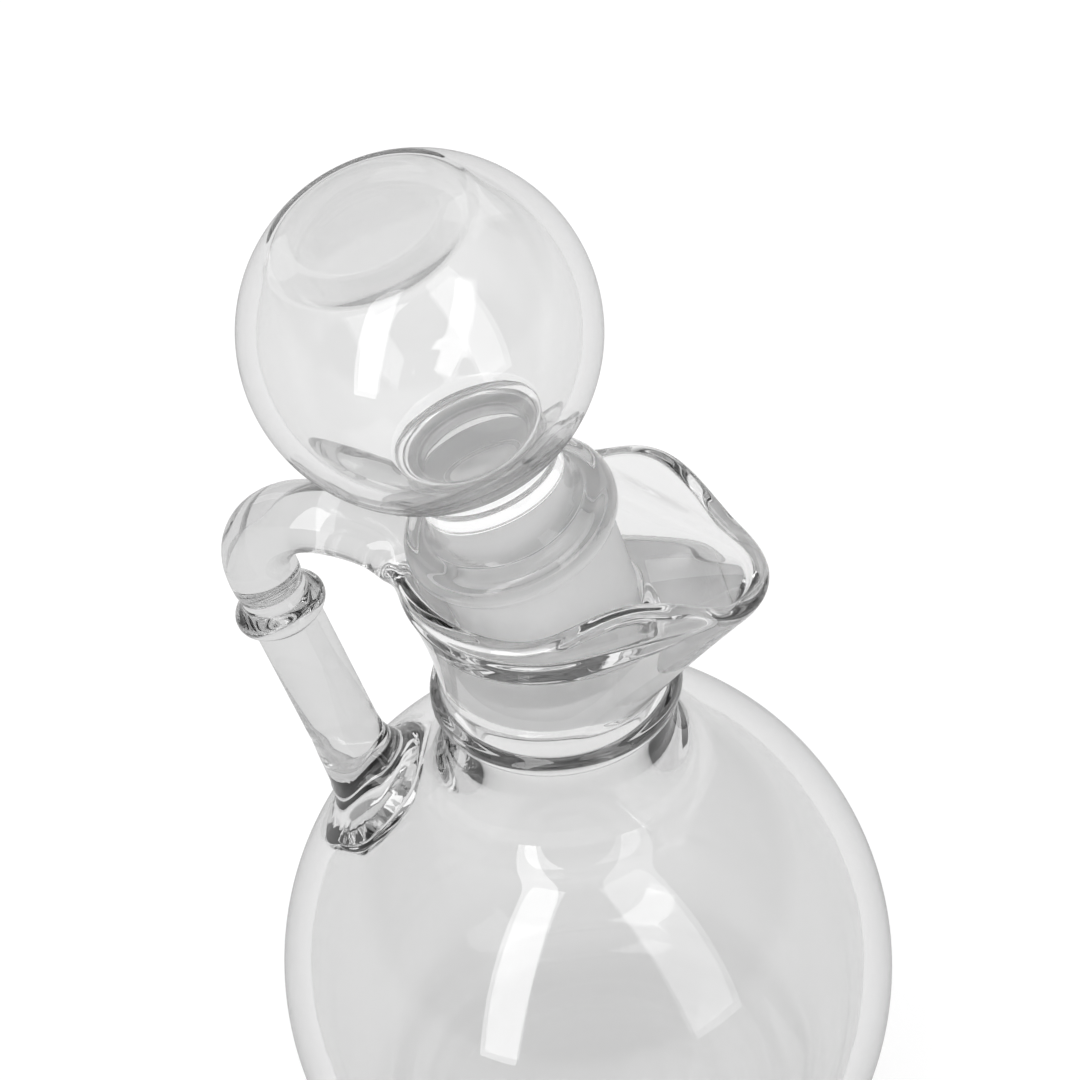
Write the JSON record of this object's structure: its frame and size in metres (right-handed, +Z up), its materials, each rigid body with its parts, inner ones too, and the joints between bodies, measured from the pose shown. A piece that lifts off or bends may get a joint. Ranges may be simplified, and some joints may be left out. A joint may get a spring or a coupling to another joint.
{
  "type": "oil and vinegar cruet",
  "caption": "Clear pressed-glass cruet with a round belly, neck bead, pinched spout, rod handle and a hollow ball stopper leaning in its open mouth.",
  "frame": {"origin": "on the standing plane, under the middle of the base", "axes": "+Z up along the bottle's axis, +X toward the pouring spout, -X toward the handle"},
  "size_m": [0.0743, 0.074, 0.1521],
  "materials": {
    "clear_glass": "clear fire-polished pressed glass",
    "stopper_glass": "clear glass ball and collar with a ground, frosted plug"
  },
  "bodies": {
    "root": {"bottle": "clear_glass", "stopper": "stopper_glass"}
  },
  "joints": []
}
